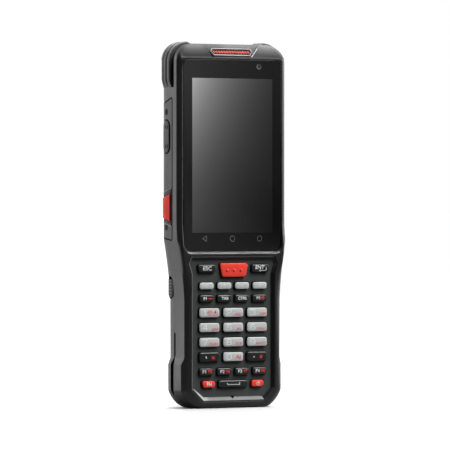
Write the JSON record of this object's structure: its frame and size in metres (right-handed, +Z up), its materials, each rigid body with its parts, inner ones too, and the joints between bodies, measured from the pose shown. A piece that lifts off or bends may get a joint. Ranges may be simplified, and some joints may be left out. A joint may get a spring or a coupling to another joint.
{
  "type": "portable barcode data terminal",
  "caption": "Rugged handheld data terminal: tall touch screen above a keypad, side scan triggers, hinged battery cover at the back, standing on its foot.",
  "frame": {"origin": "middle of the base of the foot, between front and back, where the terminal stands upright", "axes": "+Z up along the terminal's length, -Y out of the screen, +X to the user's right"},
  "size_m": [0.0726, 0.026, 0.2053],
  "materials": {
    "housing_plastic": "satin moulded polycarbonate, near black, fine texture",
    "seal_rubber": "silicone cord, red brown",
    "steel": "zinc-plated steel",
    "black_steel": "black oxidised steel",
    "cover_glass": "black-bordered toughened glass, gloss",
    "display": "display module, steel-backed",
    "lens": "black lens barrel with a coated front",
    "plate_plastic": "dark grey keypad plate, fine matt texture",
    "membrane_silicone": "grey silicone",
    "circuit_board": "green solder mask",
    "light_red": "translucent red, ribbed",
    "bezel_metal": "silver trim",
    "bumper_rubber": "overmoulded black elastomer",
    "key_grey": "light grey silicone-coated key, printed legend",
    "key_black": "black key, printed legend",
    "key_red": "red key",
    "battery_case": "battery pack casing",
    "engine_case": "dark module casing",
    "window_red": "deep red scan window",
    "gold": "gold-plated contact"
  },
  "bodies": {
    "body": {"front_housing": "housing_plastic", "rear_housing": "housing_plastic", "housing_seal": "seal_rubber", "housing_screws": "steel", "touch_glass": "cover_glass", "display_module": "display", "front_camera": "lens", "keypad_plate": "plate_plastic", "keypad_membrane": "membrane_silicone", "main_board": "circuit_board", "dome_switches": "steel", "status_light_lens": "light_red", "status_light_bezel": "bezel_metal", "top_bumpers": "bumper_rubber", "side_key_panels": "housing_plastic", "side_panel_screws": "black_steel", "side_switches": "circuit_board", "port_connector": "steel", "battery_pack": "battery_case", "scan_engine": "engine_case", "scan_window": "window_red", "rear_camera": "lens", "speaker": "engine_case", "charging_contacts": "gold"},
    "volume_rocker": {"volume_rocker": "key_black"},
    "left_scan_trigger": {"left_scan_trigger": "key_red"},
    "right_scan_trigger": {"right_scan_trigger": "key_red"},
    "port_cover": {"port_cover": "bumper_rubber"},
    "battery_cover": {"battery_cover": "housing_plastic"},
    "battery_latch": {"battery_latch": "key_black"},
    "key_esc": {"key_esc": "key_black"},
    "key_scan": {"key_scan": "key_red"},
    "key_enter": {"key_enter": "key_black"},
    "key_left": {"key_left": "key_grey"},
    "key_up": {"key_up": "key_grey"},
    "key_down": {"key_down": "key_grey"},
    "key_right": {"key_right": "key_grey"},
    "key_p1": {"key_p1": "key_black"},
    "key_tab": {"key_tab": "key_black"},
    "key_ctrl": {"key_ctrl": "key_black"},
    "key_p2": {"key_p2": "key_black"},
    "key_1": {"key_1": "key_grey"},
    "key_2": {"key_2": "key_grey"},
    "key_3": {"key_3": "key_grey"},
    "key_4": {"key_4": "key_grey"},
    "key_5": {"key_5": "key_grey"},
    "key_6": {"key_6": "key_grey"},
    "key_7": {"key_7": "key_grey"},
    "key_8": {"key_8": "key_grey"},
    "key_9": {"key_9": "key_grey"},
    "key_comma": {"key_comma": "key_black"},
    "key_0": {"key_0": "key_grey"},
    "key_dot": {"key_dot": "key_black"},
    "key_f1": {"key_f1": "key_black"},
    "key_f2": {"key_f2": "key_black"},
    "key_f3": {"key_f3": "key_black"},
    "key_f4": {"key_f4": "key_black"},
    "key_fn": {"key_fn": "key_red"},
    "key_space": {"key_space": "key_black"},
    "key_power": {"key_power": "key_red"}
  },
  "joints": [
    {"name": "press_esc", "type": "slide", "parent": "body", "child": "key_esc", "axis": [0, 1, 0], "range_m": [0, 0.0006], "stiffness_N_per_m": 1000, "springref_m": -0.0005},
    {"name": "press_scan", "type": "slide", "parent": "body", "child": "key_scan", "axis": [0, 1, 0], "range_m": [0, 0.0006], "stiffness_N_per_m": 1000, "springref_m": -0.0005},
    {"name": "press_enter", "type": "slide", "parent": "body", "child": "key_enter", "axis": [0, 1, 0], "range_m": [0, 0.0006], "stiffness_N_per_m": 1000, "springref_m": -0.0005},
    {"name": "press_left", "type": "slide", "parent": "body", "child": "key_left", "axis": [0, 1, 0], "range_m": [0, 0.0006], "stiffness_N_per_m": 1000, "springref_m": -0.0005},
    {"name": "press_up", "type": "slide", "parent": "body", "child": "key_up", "axis": [0, 1, 0], "range_m": [0, 0.0006], "stiffness_N_per_m": 1000, "springref_m": -0.0005},
    {"name": "press_down", "type": "slide", "parent": "body", "child": "key_down", "axis": [0, 1, 0], "range_m": [0, 0.0006], "stiffness_N_per_m": 1000, "springref_m": -0.0005},
    {"name": "press_right", "type": "slide", "parent": "body", "child": "key_right", "axis": [0, 1, 0], "range_m": [0, 0.0006], "stiffness_N_per_m": 1000, "springref_m": -0.0005},
    {"name": "press_p1", "type": "slide", "parent": "body", "child": "key_p1", "axis": [0, 1, 0], "range_m": [0, 0.0006], "stiffness_N_per_m": 1000, "springref_m": -0.0005},
    {"name": "press_tab", "type": "slide", "parent": "body", "child": "key_tab", "axis": [0, 1, 0], "range_m": [0, 0.0006], "stiffness_N_per_m": 1000, "springref_m": -0.0005},
    {"name": "press_ctrl", "type": "slide", "parent": "body", "child": "key_ctrl", "axis": [0, 1, 0], "range_m": [0, 0.0006], "stiffness_N_per_m": 1000, "springref_m": -0.0005},
    {"name": "press_p2", "type": "slide", "parent": "body", "child": "key_p2", "axis": [0, 1, 0], "range_m": [0, 0.0006], "stiffness_N_per_m": 1000, "springref_m": -0.0005},
    {"name": "press_1", "type": "slide", "parent": "body", "child": "key_1", "axis": [0, 1, 0], "range_m": [0, 0.0006], "stiffness_N_per_m": 1000, "springref_m": -0.0005},
    {"name": "press_2", "type": "slide", "parent": "body", "child": "key_2", "axis": [0, 1, 0], "range_m": [0, 0.0006], "stiffness_N_per_m": 1000, "springref_m": -0.0005},
    {"name": "press_3", "type": "slide", "parent": "body", "child": "key_3", "axis": [0, 1, 0], "range_m": [0, 0.0006], "stiffness_N_per_m": 1000, "springref_m": -0.0005},
    {"name": "press_4", "type": "slide", "parent": "body", "child": "key_4", "axis": [0, 1, 0], "range_m": [0, 0.0006], "stiffness_N_per_m": 1000, "springref_m": -0.0005},
    {"name": "press_5", "type": "slide", "parent": "body", "child": "key_5", "axis": [0, 1, 0], "range_m": [0, 0.0006], "stiffness_N_per_m": 1000, "springref_m": -0.0005},
    {"name": "press_6", "type": "slide", "parent": "body", "child": "key_6", "axis": [0, 1, 0], "range_m": [0, 0.0006], "stiffness_N_per_m": 1000, "springref_m": -0.0005},
    {"name": "press_7", "type": "slide", "parent": "body", "child": "key_7", "axis": [0, 1, 0], "range_m": [0, 0.0006], "stiffness_N_per_m": 1000, "springref_m": -0.0005},
    {"name": "press_8", "type": "slide", "parent": "body", "child": "key_8", "axis": [0, 1, 0], "range_m": [0, 0.0006], "stiffness_N_per_m": 1000, "springref_m": -0.0005},
    {"name": "press_9", "type": "slide", "parent": "body", "child": "key_9", "axis": [0, 1, 0], "range_m": [0, 0.0006], "stiffness_N_per_m": 1000, "springref_m": -0.0005},
    {"name": "press_comma", "type": "slide", "parent": "body", "child": "key_comma", "axis": [0, 1, 0], "range_m": [0, 0.0006], "stiffness_N_per_m": 1000, "springref_m": -0.0005},
    {"name": "press_0", "type": "slide", "parent": "body", "child": "key_0", "axis": [0, 1, 0], "range_m": [0, 0.0006], "stiffness_N_per_m": 1000, "springref_m": -0.0005},
    {"name": "press_dot", "type": "slide", "parent": "body", "child": "key_dot", "axis": [0, 1, 0], "range_m": [0, 0.0006], "stiffness_N_per_m": 1000, "springref_m": -0.0005},
    {"name": "press_f1", "type": "slide", "parent": "body", "child": "key_f1", "axis": [0, 1, 0], "range_m": [0, 0.0006], "stiffness_N_per_m": 1000, "springref_m": -0.0005},
    {"name": "press_f2", "type": "slide", "parent": "body", "child": "key_f2", "axis": [0, 1, 0], "range_m": [0, 0.0006], "stiffness_N_per_m": 1000, "springref_m": -0.0005},
    {"name": "press_f3", "type": "slide", "parent": "body", "child": "key_f3", "axis": [0, 1, 0], "range_m": [0, 0.0006], "stiffness_N_per_m": 1000, "springref_m": -0.0005},
    {"name": "press_f4", "type": "slide", "parent": "body", "child": "key_f4", "axis": [0, 1, 0], "range_m": [0, 0.0006], "stiffness_N_per_m": 1000, "springref_m": -0.0005},
    {"name": "press_fn", "type": "slide", "parent": "body", "child": "key_fn", "axis": [0, 1, 0], "range_m": [0, 0.0006], "stiffness_N_per_m": 1000, "springref_m": -0.0005},
    {"name": "press_space", "type": "slide", "parent": "body", "child": "key_space", "axis": [0, 1, 0], "range_m": [0, 0.0006], "stiffness_N_per_m": 1000, "springref_m": -0.0005},
    {"name": "press_power", "type": "slide", "parent": "body", "child": "key_power", "axis": [0, 1, 0], "range_m": [0, 0.0006], "stiffness_N_per_m": 1000, "springref_m": -0.0005},
    {"name": "left_trigger_pull", "type": "slide", "parent": "body", "child": "left_scan_trigger", "axis": [1, 0, 0], "range_m": [0, 0.0007], "stiffness_N_per_m": 1500, "springref_m": -0.0005},
    {"name": "right_trigger_pull", "type": "slide", "parent": "body", "child": "right_scan_trigger", "axis": [-1, 0, 0], "range_m": [0, 0.0007], "stiffness_N_per_m": 1500, "springref_m": -0.0005},
    {"name": "rocker_tilt", "type": "hinge", "parent": "body", "child": "volume_rocker", "pos_m": [-0.0322, 0.00186, 0.152], "axis": [0, 1, 0], "range_deg": [-3, 3], "stiffness_Nm_per_rad": 0.06},
    {"name": "port_cover_swing", "type": "hinge", "parent": "body", "child": "port_cover", "pos_m": [0.0335, 0.00076, 0.14475], "axis": [0, 1, 0], "range_deg": [0, 90]},
    {"name": "battery_cover_swing", "type": "hinge", "parent": "body", "child": "battery_cover", "pos_m": [0, 0.0085, 0.0145], "axis": [-1, 0, 0], "range_deg": [0, 70]},
    {"name": "latch_slide", "type": "slide", "parent": "body", "child": "battery_latch", "axis": [0, 0, 1], "range_m": [0, 0.0014], "stiffness_N_per_m": 300, "springref_m": -0.003}
  ]
}
